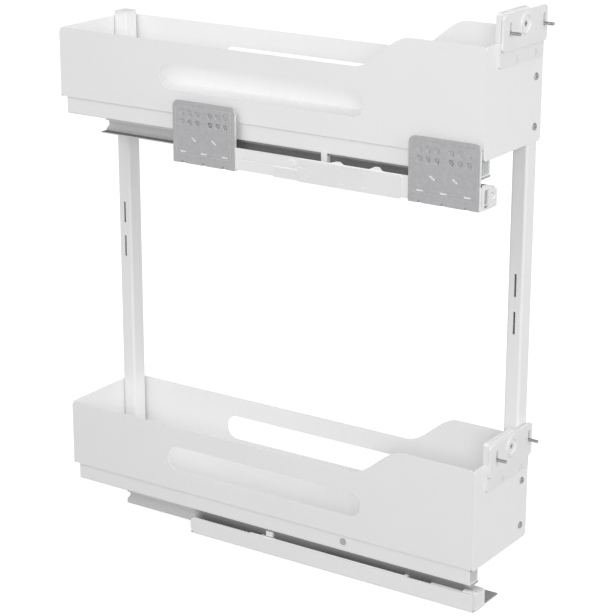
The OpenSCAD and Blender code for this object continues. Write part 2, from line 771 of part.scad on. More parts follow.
// white channel on the plates' feet, with two ribs under the cabinet rail
module upper_channel() color(white) {
    top = foot_top + high_channel_h;
    rib = 2;
    difference() {
        box(high_near_x, high_inner_x, rail_front, rail_rear, foot_top, top);
        box(high_near_x - 1, high_near_x + 0.6, cover_rear + 1.5, cover_rear + groove_l,
            foot_top + groove_h, foot_top + groove_h + 1);
    }
    box(high_inner_x, channel_far_x, rail_front, rail_rear, foot_top, high_floor_z);
    for (x = [web_x + track_s, channel_far_x - channel_t - rib])
        box(x, x + rib, rail_front, rail_rear, high_floor_z, high_rail_z - rail_h / 2);
    difference() {
        box(channel_far_x - channel_t, channel_far_x, rail_front, rail_rear,
            high_floor_z, high_rail_z + channel_lip);
        rivet_holes(high_rail_z);
    }
    for (ramp = ramps) along_x(high_near_x, high_inner_x) translate([cover_front + ramp[0], top])
            polygon([[-5.5, 0], [9, 0], [2, ramp[1]], [-2, ramp[1]]]);
    pin_x(cover_rear + boss_in, foot_top + boss_h, high_near_x - 0.6, high_near_x, boss_r);
}

// plastic cap that closes the upper channel's door end: its tongue is fixed to the tray rail, so it
// leaves with the basket. It has a curved top, a recess, an upright bar and a blind window
cap_bar_in = 8;
cap_bar_w = 4.5;
cap_reach = 2.8;
module upper_channel_end_cap() color(white) {
    near = high_near_x;
    far = channel_far_x - 1;
    y0 = rail_front - cap_reach;
    y1 = rail_front - gap;
    top_near = foot_top + high_channel_h + 2;
    top_far = foot_top + 15.5;
    floor_y = y0 + 1.4;
    steps = 10;
    difference() {
        along_y(y0, y1) polygon(concat([[near, foot_top], [far, foot_top]],
            [for (i = [0:steps]) let (u = i / steps) [far + (near - far) * u,
                top_far + (top_near - top_far) * (1 - pow(1 - u, 1.7))]]));
        along_y(y0 - 1, floor_y) {
            bar(near + 0.8, near + cap_bar_in, foot_top + 4.6, foot_top + 18);
            polygon([[near + cap_bar_in + cap_bar_w, foot_top + 7], [far - 1.2, foot_top + 7],
                [far - 1.2, top_far - 4.4], [near + cap_bar_in + cap_bar_w, top_far - 1]]);
        }
        along_y(y0 - 1, y1 + 1) bar(near + 0.8, near + cap_bar_in, foot_top + 2, foot_top + 4.2);
    }
    box(web_x - 1.2, web_x, y1 - 0.1, front_y + tray_rail_in + 14, foot_top + 6, foot_top + 11.5);
}

// plastic cap that closes the lower channel's door end, with a roof on each side of the tray rail's
// upright; it is fixed to that upright and leaves with the basket
module lower_channel_end_cap() color(white) {
    far = channel_far_x - 0.5;
    roof = low_rail_z + mid_out + gap;
    top = roof + 1.5;
    y1 = rail_front - gap;
    y2 = rail_front + rail_in - 2;
    difference() {
        along_y(rail_front - cap_reach, y1) rounded(low_near_x, far, floor_t + gap, top, 1.2);
        along_y(rail_front - cap_reach - 1, rail_front - cap_reach + 0.6)
            rounded(low_near_x + 2, far - 2, floor_t + 3, top - 3, 1);
    }
    box(low_near_x + channel_t, web_x, y1 - 0.1, y2, roof, top);
    box(web_x + tray_rail_t, far, y1 - 0.1, y2, roof, top);
}

// cover of the soft-close unit, on the channel's near face between the two wall plates, with the
// flat latch that continues it under the channel's groove
module soft_close_cover() color(white) {
    face = high_near_x - 1.1;
    difference() {
        along_x(face, high_near_x)
            rounded(cover_front, cover_rear, foot_top - 1.3, foot_top + high_channel_h - 0.6, 1.5);
        along_x(face - 1, face + 0.6) {
            for (y = cover_slots) slot2d(cover_front + y, cover_front + y + 5, foot_top + 4, 0.8);
            slot2d(cover_rear - 9, cover_rear - 1.5, foot_top + 13.2, 1);
            slot2d(cover_front + cover_slots[0], cover_front + cover_slots[1] + 5, foot_top + 17.8, 0.4);
        }
    }
    difference() {
        along_x(face + 0.3, high_near_x)
            rounded(cover_rear - 2, cover_rear + latch_l, foot_top - 0.6, foot_top + groove_h - 0.6, 1.2);
        along_x(face - 1, face + 0.9) for (y = [1, latch_l - 8])
            slot2d(cover_rear + y, cover_rear + y + 5.5, foot_top + 4.8, 0.6);
    }
}

// rivets that hold the rails in their channels
module rail_rivets() color(steel) for (z = [low_rail_z, high_rail_z], y = rivet_y) {
    pin_x(y, z, web_x + back_s, channel_far_x, rivet_r);
    pin_x(y, z, channel_far_x, channel_far_x + 0.6, rivet_r + 0.8);
}

// ---------------------------------------------------------------- soft close

// one unbroken spring wire wound round the Y axis: 8 rings a curl and 6 sides, whose ends turn
// straight towards their seats
rings = 8;
sides = 6;
function unit(v) = v / norm(v);
function coil(i, rise) = let (u = 360 * i / rings)
    [spring_d / 2 * cos(u), rise * i / rings, spring_d / 2 * sin(u)];
function run(i, rise) = let (u = 360 * i / rings)
    unit([-spring_d / 2 * sin(u), rise / (2 * PI), spring_d / 2 * cos(u)]);
function wire_path(n, rise) = concat(
    [coil(0, rise) - [0, 1.5 * wire_d, 0], coil(0, rise) - [0, 0.5 * wire_d, 0]],
    [for (i = [0:n * rings]) coil(i, rise)],
    [coil(n * rings, rise) + [0, 0.5 * wire_d, 0], coil(n * rings, rise) + [0, 1.5 * wire_d, 0]]);
function wire_turn(n) = concat([0, 0], [for (i = [0:n * rings]) 360 * i / rings], [0, 0]);
function wire_run(n, rise) = concat([[0, 1, 0], [0, 1, 0], unit([0, 1, 0] + run(0, rise))],
    [for (i = [1:n * rings - 1]) run(i, rise)],
    [unit([0, 1, 0] + run(n * rings, rise)), [0, 1, 0], [0, 1, 0]]);

// least distance between the middle lines of turns that lie side by side, less the wire itself
function wire_gap(rise) = min([for (i = [rings / 2:3 * rings]) norm(coil(i, rise) - coil(0, rise))])
    - wire_d;

function rise_of(n, l) = (l - 3 * wire_d) / n;
echo(upper_wire_gap = wire_gap(rise_of(upper_curls, upper_spring_l)));
echo(lower_wire_gap = wire_gap(rise_of(lower_curls, lower_spring_l)));

// n curls over the length l, from y = 0
module spring_wire(n, l) {
    rise = rise_of(n, l);
    path = wire_path(n, rise);
    turns = wire_turn(n);
    runs = wire_run(n, rise);
    count = len(path);
    points = [for (i = [0:count - 1], j = [0:sides - 1]) let (v = 360 * j / sides,
        out = [cos(turns[i]), 0, sin(turns[i])], across = cross(unit(runs[i]), out))
        path[i] + wire_d / 2 * (cos(v) * out + sin(v) * across)];
    start = [for (j = [1:sides - 2]) [0, j, j + 1]];
    end = [for (j = [1:sides - 2]) let (o = (count - 1) * sides) [o, o + j + 1, o + j]];
    skin = [for (i = [0:count - 2], j = [0:sides - 1]) let (a = i * sides + j,
        b = i * sides + (j + 1) % sides) each [[a, a + sides, b + sides], [a, b + sides, b]]];
    translate([0, 1.5 * wire_d, 0]) polyhedron(points, concat(start, end, skin));
}

module upper_closing_spring() color(grey)
    translate([high_spring[0], upper_spring_front, high_spring[1]])
        spring_wire(upper_curls, upper_spring_l);
module lower_closing_spring() color(grey)
    translate([low_spring[0], lower_spring_front, low_spring[1]])
        spring_wire(lower_curls, lower_spring_l);

// damper cylinder with a blind bore for the rod
module damper(at, y0) difference() {
    pin_y(at[0], at[1], y0, y0 + damper_l, damper_d / 2);
    pin_y(at[0], at[1], y0 - 1, y0 + damper_l - 3, rod_d / 2 + shaft_gap);
}

module damper_rod(at, y0) pin_y(at[0], at[1], y0, y0 + nose_gap + catch_travel + 6, rod_d / 2);

// housing: a wall along the channel, a block that the spring leans on, and a nose round the rod
module closer_housing(inner_x, floor_z, at, y0, nose_y, top) {
    far = at[0] + damper_d / 2;
    box(inner_x, inner_x + closer_wall, y0, nose_y + closer_block, floor_z, top);
    box(inner_x + closer_wall, web_x - slide_gap, y0, y0 + closer_block, floor_z, top);
    difference() {
        box(inner_x + closer_wall, far, nose_y, nose_y + closer_block, floor_z, at[1] + damper_d / 2);
        pin_y(at[0], at[1], nose_y - 1, nose_y + closer_block + 1, rod_d / 2 + gap);
    }
}

// sliding catch: a foot on the damper's line and a post that reaches the spring's height
module catch(at, spring, y0, floor_z, top) {
    box(at[0] - damper_d / 2 + 0.1, at[0] + damper_d / 2 - 0.1, y0, y0 + catch_l, floor_z + gap, at[1] + 2.2);
    box(spring[0] - 1.4, spring[0] + 1.4, y0, y0 + catch_l, at[1] + 2.2, top);
}

upper_nose = upper_catch_y + catch_l + nose_gap - closer_block - gap;
lower_nose = lower_catch_y + catch_l + nose_gap - closer_block - gap;

module upper_damper() color(steel) damper(high_damper, upper_catch_y + catch_l + nose_gap);
module lower_damper() color(steel) damper(low_damper, lower_catch_y + catch_l + nose_gap);
module upper_damper_rod() color(steel) damper_rod(high_damper, upper_catch_y + catch_l);
module lower_damper_rod() color(steel) damper_rod(low_damper, lower_catch_y + catch_l);
module upper_closer_housing() color(white)
    closer_housing(high_inner_x, high_floor_z, high_damper,
        upper_spring_front - 0.1 - closer_block, upper_nose, high_rail_z - slide_gap);
module lower_closer_housing() color(white)
    closer_housing(low_inner_x, low_floor_z, low_damper,
        lower_spring_front - 0.1 - closer_block, lower_nose, floor_t + low_channel_h + 0.5);
module upper_catch() color(white)
    catch(high_damper, high_spring, upper_catch_y, high_floor_z, high_rail_z - slide_gap);
module lower_catch() color(white) {
    catch(low_damper, low_spring, lower_catch_y, low_floor_z, floor_t + low_channel_h);
    pin_y(low_spring[0], low_spring[1], lower_spring_rear + 0.1, lower_catch_y, spring_r - 0.2);
}

// driver on the tray rail's upright, above the catch
upper_driver_l = 6.5;
lower_driver_l = 8;
module upper_driver() color(white) {
    face = profile_x - 1.5;
    low = high_rail_z + 1 + gap;
    rear = upper_driver_y + upper_driver_l;
    box(web_x - 6.4, web_x, upper_driver_y, rear, low, high_rail_z + rail_drop - tray_rail_t);
    box(face, profile_x - gap, upper_driver_y, rear, low, high_tray_z - profile_h + 1);
}
module lower_driver() color(white)
    box(web_x - 3.6, web_x, lower_driver_y, lower_driver_y + lower_driver_l,
        floor_t + low_channel_h + 1, low_rail_z + rail_drop - tray_rail_t);

// screws that hold the tray rails to the side profiles, and one through the lower profile's face
module tray_rail_screws() color(steel) {
    for (z = [low_rail_z, high_rail_z], y = rail_screw_y)
        translate([rail_screw_x, y, z + rail_drop - tray_rail_t]) {
            translate([0, 0, -1.2]) cylinder(h = 1.2, r = 3, $fn = round_fn);
            cylinder(h = tray_rail_t + profile_wall + 3, r = rail_screw_r, $fn = round_fn);
        }
    on_low() {
        pin_x(face_screw_y, face_screw_z, profile_x, profile_x + profile_wall + 2, face_screw_r);
        pin_x(face_screw_y, face_screw_z, profile_x - 0.7, profile_x, 2 * face_screw_r);
    }
}

// ---------------------------------------------------------------- door brackets

// base: a plate on the front panel and a block above the panel's edge, with a hole in its top
module bracket_base(drop) {
    y0 = front_y - base_t;
    low = front_h + gap + drop;
    top = bracket_top + block_over;
    difference() {
        union() {
            along_y(y0, front_y)
                rounded(bracket_left + 0.5, bracket_right - 0.5, bracket_low, bracket_top - 1, 3);
            along_y(y0, front_y + block_d) polygon([[bracket_left, low], [block_right, low],
                [block_right, bracket_top - 2], [block_right - 8, top], [bracket_left + 2, top],
                [bracket_left, top - 2]]);
        }
        for (x = door_screw_x) along_y(y0 - 1, front_y + block_d + 1)
            rounded(x - screw_room, x + screw_room, door_screw_h - screw_room + 0.6 - lift,
                bracket_top - 6, 2);
        along_y(y0 - 1, front_y + block_d + 1)
            rounded(bracket_x - clamp_room, bracket_x + clamp_room, clamp_h - clamp_room - lift,
                clamp_h + clamp_room + lift, clamp_room - 0.01);
        base_screw_holes(y0 - 1, front_y + 1);
        translate([bracket_left + 17, front_y - 0.2, top - 3]) cylinder(h = 4, r = 1.8, $fn = round_fn);
    }
}

// holes for the small screws of a bracket's base
module base_screw_holes(y0, y1) for (x = base_screw_x)
    pin_y(x, bracket_low + 5, y0, y1, base_screw_r + hole_gap);

// carrier: the plate that meets the door, with an upright slot for each door screw
module bracket_carrier() {
    difference() {
        union() {
            along_y(door_y, door_y + carrier_t)
                rounded(bracket_left, bracket_right, carrier_low, bracket_top, 4);
            difference() {
                pin_y(bracket_x, clamp_h, door_y - rim_t, door_y + 1, rim_r);
                pin_y(bracket_x, clamp_h, door_y - 2 * rim_t, door_y, rim_r - rim_w);
            }
        }
        for (x = door_screw_x) translate([x, 0, 0])
            along_y(door_y - 1, door_y + carrier_t + 1) {
                bar(-door_screw_r - gap, door_screw_r + gap, door_screw_h, door_screw_h + carrier_slot);
                for (z = [door_screw_h, door_screw_h + carrier_slot])
                    translate([0, z]) circle(door_screw_r + gap, $fn = round_fn);
            }
        pin_y(bracket_x, clamp_h, door_y - 1, door_y + carrier_t + 1, clamp_head_r + shaft_gap);
    }
}

// clamp screw: a slotted head that turns in the carrier, a shoulder behind it, a pin through the
// base's upright slot and a riveted end that keeps it there
module clamp_screw() {
    back = door_y + carrier_t;
    end = front_y + block_d + gap / 2;
    difference() {
        pin_y(bracket_x, clamp_h, door_y + 0.2, back, clamp_head_r);
        box(bracket_x - 1.8, bracket_x + 1.8, door_y - 1, door_y + 1.4, clamp_h - 0.5, clamp_h + 0.5);
    }
    pin_y(bracket_x, clamp_h, back, back + gap / 2, clamp_head_r + 1);
    pin_y(bracket_x, clamp_h, back + gap / 2, end, clamp_pin_r);
    pin_y(bracket_x, clamp_h, end, end + clamp_end_t, clamp_end_r);
}

// door screws: a head behind the carrier, a thinner neck in its slot and a stud in front of it
module door_screws() for (x = door_screw_x) {
    screw_y(x, door_screw_h, door_y + carrier_t, -1, carrier_t + neck_over, door_screw_r - 0.15,
        door_head_r, 1.8);
    pin_y(x, door_screw_h, door_y - door_screw_l, door_y - neck_over, door_screw_r);
}

module screws_for_base() for (x = base_screw_x)
    screw_y(x, bracket_low + 5, front_y - base_t, 1, base_t + sheet_t - 0.1, base_screw_r, 2.8, 1);

module on_low_bracket() translate([0, 0, low_tray_z - bracket_drop]) children();

module upper_bracket_base() color(white) on_high() bracket_base(0);
module upper_bracket_carrier() color(white) on_high() bracket_carrier();
module upper_clamp_screw() color(steel) on_high() clamp_screw();
module upper_door_screws() color(steel) on_high() door_screws();
module lower_bracket_base() color(white) on_low_bracket() bracket_base(bracket_drop);
module lower_bracket_carrier() color(white) on_low_bracket() bracket_carrier();
module lower_clamp_screw() color(steel) on_low_bracket() clamp_screw();
module lower_door_screws() color(steel) on_low_bracket() door_screws();
module bracket_screws() color(steel) {
    on_high() screws_for_base();
    on_low_bracket() screws_for_base();
}

floor_plate();
lower_channel();
lower_cabinet_rail();
lower_front_guide();
lower_closer_housing();
lower_damper();
lower_closing_spring();
front_wall_plate();
rear_wall_plate();
upper_channel();
upper_cabinet_rail();
upper_channel_end_cap();
lower_channel_end_cap();
soft_close_cover();
upper_closer_housing();
upper_damper();
upper_closing_spring();
rail_rivets();
upper_catch();
upper_damper_rod();
lower_catch();
lower_damper_rod();
upper_middle_rail();
lower_middle_rail();
upper_outer_cage();
upper_inner_cage();
lower_outer_cage();
lower_inner_cage();
upper_near_side();
upper_far_side();
upper_front_panel();
upper_rear_panel();
upper_floor();
lower_near_side();
lower_far_side();
lower_front_panel();
lower_rear_panel();
lower_floor();
upper_side_profile();
lower_side_profile();
profile_end_caps();
front_post();
rear_post();
post_caps();
post_screws();
upper_tray_rail();
lower_tray_rail();
tray_rail_screws();
upper_driver();
lower_driver();
upper_bracket_base();
lower_bracket_base();
bracket_screws();
upper_bracket_carrier();
upper_clamp_screw();
upper_door_screws();
lower_bracket_carrier();
lower_clamp_screw();
lower_door_screws();
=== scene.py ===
import json
import math
import bmesh
import bpy
import numpy as np
from mathutils import Matrix, Vector

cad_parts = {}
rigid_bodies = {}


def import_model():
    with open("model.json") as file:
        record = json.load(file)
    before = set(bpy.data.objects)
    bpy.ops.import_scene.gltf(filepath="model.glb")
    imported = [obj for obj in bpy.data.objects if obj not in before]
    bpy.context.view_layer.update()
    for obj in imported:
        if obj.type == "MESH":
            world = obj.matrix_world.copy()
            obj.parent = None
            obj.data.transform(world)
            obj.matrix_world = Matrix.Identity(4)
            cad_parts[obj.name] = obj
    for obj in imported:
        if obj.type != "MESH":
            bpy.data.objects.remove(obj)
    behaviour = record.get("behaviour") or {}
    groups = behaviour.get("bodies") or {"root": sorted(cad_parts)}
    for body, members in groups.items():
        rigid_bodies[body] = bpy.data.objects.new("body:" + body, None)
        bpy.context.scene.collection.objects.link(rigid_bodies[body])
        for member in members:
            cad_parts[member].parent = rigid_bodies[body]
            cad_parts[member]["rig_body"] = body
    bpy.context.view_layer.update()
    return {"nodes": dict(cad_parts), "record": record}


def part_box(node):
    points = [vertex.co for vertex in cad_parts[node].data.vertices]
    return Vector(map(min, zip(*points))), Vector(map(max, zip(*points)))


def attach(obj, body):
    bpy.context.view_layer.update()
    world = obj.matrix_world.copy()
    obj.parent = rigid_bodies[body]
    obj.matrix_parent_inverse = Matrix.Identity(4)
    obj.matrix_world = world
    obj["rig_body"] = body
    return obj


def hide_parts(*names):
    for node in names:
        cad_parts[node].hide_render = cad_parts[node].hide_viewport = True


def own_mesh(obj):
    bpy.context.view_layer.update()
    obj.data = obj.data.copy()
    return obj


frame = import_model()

nodes = frame["nodes"]
bodyOf = {name: obj["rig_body"] for name, obj in nodes.items()}
print("frame loaded:", len(nodes), "nodes")

# camera, at the photograph's place

camera = {
    "place": (-1.54794, -0.99449, 0.85088),
    "azimuth": -56.193,   # degrees round the object, 0 looks along +Y
    "elevation": 17.886,  # degrees above the horizon
    "roll": 0.119,
    "lens": 120.77,       # mm
    "sensor": 36.0,       # mm
    "farthest": 50.0,     # m
}


def makeCamera(s):
    data = bpy.data.cameras.new("camera")
    data.lens, data.sensor_width, data.clip_end = s["lens"], s["sensor"], s["farthest"]
    cam = bpy.data.objects.new("camera", data)
    bpy.context.scene.collection.objects.link(cam)
    a, e, r = (math.radians(s[k]) for k in ("azimuth", "elevation", "roll"))
    back = Vector((math.sin(a) * math.cos(e), -math.cos(a) * math.cos(e), math.sin(e)))
    right = Vector((math.cos(a), math.sin(a), 0.0))
    up = back.cross(right)
    turned = right * math.cos(r) + up * math.sin(r)
    raised = -right * math.sin(r) + up * math.cos(r)
    cam.matrix_world = Matrix.Translation(s["place"]) @ Matrix((turned, raised, back)).transposed().to_4x4()
    bpy.context.scene.camera = cam


makeCamera(camera)

# materials


def newMaterial(name):
    mat = bpy.data.materials.new(name)
    mat.use_nodes = True
    tree = mat.node_tree
    return mat, tree, tree.nodes["Principled BSDF"]


def objectPattern(tree, kind, scale, stretch=(1, 1, 1), **inputs):
    # a noise, voronoi or wave texture on Object coordinates, stretched along the axes
    coords = tree.nodes.new("ShaderNodeTexCoord")
    mapping = tree.nodes.new("ShaderNodeMapping")
    mapping.inputs["Scale"].default_value = stretch
    tex = tree.nodes.new(kind)
    tex.inputs["Scale"].default_value = scale
    for key, value in inputs.items():
        tex.inputs[key].default_value = value
    tree.links.new(coords.outputs["Object"], mapping.inputs["Vector"])
    tree.links.new(mapping.outputs["Vector"], tex.inputs["Vector"])
    return tex


def ramp(tree, source, stops):
    # maps 0..1 to colours or greys given as (place, value) pairs
    node = tree.nodes.new("ShaderNodeValToRGB")
    band = node.color_ramp
    while len(band.elements) < len(stops):
        band.elements.new(0.5)
    for element, (place, value) in zip(band.elements, stops):
        element.position = place
        element.color = (*value, 1) if isinstance(value, tuple) else (value, value, value, 1)
    tree.links.new(source, node.inputs["Fac"])
    return node.outputs["Color"]


def bumpOf(tree, height, strength, distance, before=None):
    bump = tree.nodes.new("ShaderNodeBump")
    bump.inputs["Strength"].default_value = strength
    bump.inputs["Distance"].default_value = distance
    tree.links.new(height, bump.inputs["Height"])
    if before:
        tree.links.new(before, bump.inputs["Normal"])
    return bump.outputs["Normal"]


powder = {
    "cloudScale": 9.0, "glossScale": 40.0, "peelScale": 1500.0, "waveScale": 260.0,
    "roughLow": 0.37, "roughHigh": 0.49, "specular": 0.45,
    "peelStrength": 0.10, "peelDepth": 0.00012, "waveStrength": 0.12, "waveDepth": 0.00025,
}


def powderCoat(name, light, dark, s=powder):
    # baked powder: orange peel at about half a millimetre over slow waves, faint cloudy colour
    mat, tree, skin = newMaterial(name)
    cloud = objectPattern(tree, "ShaderNodeTexNoise", s["cloudScale"], Detail=3.0)
    tree.links.new(ramp(tree, cloud.outputs["Fac"], [(0.3, dark), (0.7, light)]), skin.inputs["Base Color"])
    gloss = objectPattern(tree, "ShaderNodeTexNoise", s["glossScale"], Detail=2.0)
    rough = ramp(tree, gloss.outputs["Fac"], [(0.3, s["roughLow"]), (0.7, s["roughHigh"])])
    tree.links.new(rough, skin.inputs["Roughness"])
    peel = objectPattern(tree, "ShaderNodeTexNoise", s["peelScale"], Detail=2.0)
    waves = objectPattern(tree, "ShaderNodeTexNoise", s["waveScale"], Detail=1.0)
    fine = bumpOf(tree, peel.outputs["Fac"], s["peelStrength"], s["peelDepth"])
    both = bumpOf(tree, waves.outputs["Fac"], s["waveStrength"], s["waveDepth"], fine)
    tree.links.new(both, skin.inputs["Normal"])
    skin.inputs["Specular IOR Level"].default_value = s["specular"]
    return mat


plastic = {
    "cloudScale": 25.0, "grainScale": 2600.0, "sinkScale": 120.0,
    "roughDark": 0.56, "roughLight": 0.46, "specular": 0.4,
    "grainStrength": 0.12, "grainDepth": 0.00006, "sinkStrength": 0.08, "sinkDepth": 0.0003,
}


def mouldedPlastic(name, light, dark, s=plastic):
    # moulded plastic: fine spark texture, slow sink marks
    mat, tree, skin = newMaterial(name)
    cloud = objectPattern(tree, "ShaderNodeTexNoise", s["cloudScale"], Detail=2.0)
    tree.links.new(ramp(tree, cloud.outputs["Fac"], [(0.3, dark), (0.7, light)]), skin.inputs["Base Color"])
    rough = ramp(tree, cloud.outputs["Fac"], [(0.3, s["roughDark"]), (0.7, s["roughLight"])])
    tree.links.new(rough, skin.inputs["Roughness"])
    grain = objectPattern(tree, "ShaderNodeTexVoronoi", s["grainScale"])
    sink = objectPattern(tree, "ShaderNodeTexNoise", s["sinkScale"], Detail=1.0)
    fine = bumpOf(tree, grain.outputs["Distance"], s["grainStrength"], s["grainDepth"])
    both = bumpOf(tree, sink.outputs["Fac"], s["sinkStrength"], s["sinkDepth"], fine)
    tree.links.new(both, skin.inputs["Normal"])
    skin.inputs["Specular IOR Level"].default_value = s["specular"]
    return mat


steel = {
    "streakScale": 900.0, "spangleScale": 260.0, "spangleShare": 0.4,
    "smoother": 0.06, "rougher": 0.08, "streakStrength": 0.10, "streakDepth": 0.00008,
}
alongStrip, evenly = (1, 0.02, 1), (1, 1, 1)


def rolledSteel(name, light, dark, metal, roughness, stretch=alongStrip, s=steel):
    # zinc plated sheet: rolling streaks along the strip, faint spangle patches
    mat, tree, skin = newMaterial(name)
    streaks = objectPattern(tree, "ShaderNodeTexNoise", s["streakScale"], stretch, Detail=3.0)
    spangle = objectPattern(tree, "ShaderNodeTexVoronoi", s["spangleScale"])
    mix = tree.nodes.new("ShaderNodeMix")
    mix.data_type = "FLOAT"
    mix.inputs["Factor"].default_value = s["spangleShare"]
    tree.links.new(streaks.outputs["Fac"], mix.inputs["A"])
    tree.links.new(spangle.outputs["Distance"], mix.inputs["B"])
    colour = ramp(tree, mix.outputs["Result"], [(0.25, dark), (0.7, light)])
    smooth, rougher = roughness - s["smoother"], roughness + s["rougher"]
    rough = ramp(tree, mix.outputs["Result"], [(0.2, smooth), (0.8, rougher)])
    tree.links.new(colour, skin.inputs["Base Color"])
    tree.links.new(rough, skin.inputs["Roughness"])
    bump = bumpOf(tree, streaks.outputs["Fac"], s["streakStrength"], s["streakDepth"])
    tree.links.new(bump, skin.inputs["Normal"])
    skin.inputs["Metallic"].default_value = metal
    return mat


def paintShadeStretch(mat, depth, start, end, fade):
    # painted shade: multiplies the colour by depth on the stretch of Y that runs in the channel, with soft
    # ends
    tree = mat.node_tree
    base = tree.nodes["Principled BSDF"].inputs["Base Color"]
    unshaded = base.links[0].from_socket
    coords = tree.nodes.new("ShaderNodeTexCoord")
    split = tree.nodes.new("ShaderNodeSeparateXYZ")
    along = tree.nodes.new("ShaderNodeMapRange")
    along.inputs["From Min"].default_value = start - fade
    along.inputs["From Max"].default_value = end + fade
    tree.links.new(coords.outputs["Object"], split.inputs[0])
    tree.links.new(split.outputs["Y"], along.inputs["Value"])
    part = fade / (end - start + 2 * fade)
    shadeFactor = ramp(tree, along.outputs[0], [(0.0, 1.0), (part, depth), (1 - part, depth), (1.0, 1.0)])
    both = tree.nodes.new("ShaderNodeVectorMath")
    both.operation = "MULTIPLY"
    tree.links.new(unshaded, both.inputs[0])
    tree.links.new(shadeFactor, both.inputs[1])
    tree.links.new(both.outputs[0], base)
    return mat


coats = {
    "white_coat": powderCoat("whitePowderCoat", (0.95, 0.95, 0.95), (0.93, 0.93, 0.93)),
    "white_plastic": mouldedPlastic("whitePlastic", (0.92, 0.92, 0.92), (0.89, 0.89, 0.89)),
    "grey_plastic": mouldedPlastic("greyPlastic", (0.66, 0.67, 0.68), (0.60, 0.61, 0.62)),
    "zinc_steel": rolledSteel("zincSteel", (0.49, 0.49, 0.50), (0.42, 0.42, 0.43), 0.35, 0.42),
    "screw_steel": rolledSteel("screwSteel", (0.42, 0.42, 0.42), (0.30, 0.30, 0.30), 0.8, 0.35, evenly),
}
# painted shade: a dark zinc for the hook flange's top and the lower damper, which sit in shade
deepShadeZinc = rolledSteel("darkZincSteel", (0.20, 0.20, 0.20), (0.11, 0.11, 0.11), 0.4, 0.5)
# painted shade: a darker zinc for the middle and cabinet rails, which sit in shade inside the channels
paintedShadeZinc = rolledSteel("oiledZincSteel", (0.32, 0.32, 0.32), (0.24, 0.24, 0.24), 0.4, 0.45)
paleScrew = rolledSteel("paleScrewSteel", (0.80, 0.80, 0.81), (0.72, 0.72, 0.73), 0.2, 0.4, evenly)
# painted shade: a darker plastic for the end cap's recess and the channel's groove
shadedPlastic = mouldedPlastic("shadedPlastic", (0.50, 0.50, 0.51), (0.44, 0.44, 0.45))
# painted light: a pale zinc for the lances, the plates' hole walls and fold edges, and the floor plate's
# near edge
paintedLightZinc = rolledSteel("brightLanceSteel", (0.86, 0.86, 0.87), (0.78, 0.78, 0.79), 0.2, 0.35)
slotOf = {row["node"]: row["material_slot"] for row in frame["record"]["subparts"]}

# painted shade on single pieces: darker rails and damper, and a darker stretch of the tray rails where they
# run in the channel
shadeStretch = {"start": -0.150, "end": 0.150, "fade": 0.012}
shadeDepth = {"upper": 0.45, "lower": 0.40}
paintedShadeOf = {
    "lower_damper": deepShadeZinc, "lower_middle_rail": paintedShadeZinc,
    "lower_cabinet_rail": paintedShadeZinc, "upper_middle_rail": paintedShadeZinc,
}
for tray, depth in shadeDepth.items():
    bare = rolledSteel(tray + "TrayRailSteel", (0.60, 0.60, 0.61), (0.53, 0.53, 0.54), 0.25, 0.4)
    paintedShadeOf[tray + "_tray_rail"] = paintShadeStretch(bare, depth, **shadeStretch)
print("materials made")

# finished copies of the frame's pieces

edges = {
    "sheet": 0.0003, "small": 0.0002, "moulded": 0.0005,  # m, width of the eased edge
    "merge": 1e-6, "flatWithin": 0.5, "sharpFrom": 35.0,  # m, degrees, degrees
}
edgeOf = {
    "white_coat": "sheet", "white_plastic": "moulded", "grey_plastic": "moulded",
    "zinc_steel": "sheet", "rail_steel": "sheet", "screw_steel": "small",
}


def camelCase(words):
    first, *rest = words.split("_")
    return first + "".join(word.capitalize() for word in rest)


def finishedCopy(node, s):
    # the node's solid with merged corners, flat faces joined and its edges eased
    name = camelCase(node)
    mesh = nodes[node].data.copy()
    mesh.name = name
    work = bmesh.new()
    work.from_mesh(mesh)
    bmesh.ops.remove_doubles(work, verts=work.verts, dist=s["merge"])
    flatWithin = math.radians(s["flatWithin"])
    bmesh.ops.dissolve_limit(work, angle_limit=flatWithin, verts=work.verts, edges=work.edges)
    work.to_mesh(mesh)
    work.free()
    piece = bpy.data.objects.new(name, mesh)
    bpy.context.scene.collection.objects.link(piece)
    mesh.polygons.foreach_set("use_smooth", [True] * len(mesh.polygons))
    bevel = piece.modifiers.new("easedEdges", "BEVEL")
    bevel.width, bevel.segments = s[edgeOf[slotOf[node]]], 2
    bevel.limit_method, bevel.angle_limit = "ANGLE", math.radians(s["sharpFrom"])
    flat = piece.modifiers.new("flatFaces", "WEIGHTED_NORMAL")
    flat.keep_sharp = False
    mesh.materials.clear()
    mesh.materials.append(paintedShadeOf.get(node) or coats[slotOf[node]])
    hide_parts(node)
    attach(piece, bodyOf[node])


rebuilt = ["upper_closing_spring", "lower_closing_spring", "post_screws", "bracket_screws",
           "upper_door_screws", "lower_door_screws"]
for node in nodes:
    if node not in rebuilt:
        finishedCopy(node, edges)
print("pieces finished")

# painted light and shade on some faces of a piece


def boxOf(node):
    low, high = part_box(node)
    return np.array(low), np.array(high)


def paintFaces(node, material, chosen, s):
    # gives a second material, painted light or painted shade, to the faces that chosen picks from their
    # middles and normals
    mesh = bpy.data.objects[camelCase(node)].data
    middles, normals = np.empty((2, len(mesh.polygons) * 3))
    mesh.polygons.foreach_get("center", middles)
    mesh.polygons.foreach_get("normal", normals)
    picked = chosen(middles.reshape(-1, 3), normals.reshape(-1, 3), *boxOf(node), s)
    mesh.materials.append(material)
    mesh.polygons.foreach_set("material_index", picked.astype(np.int32))


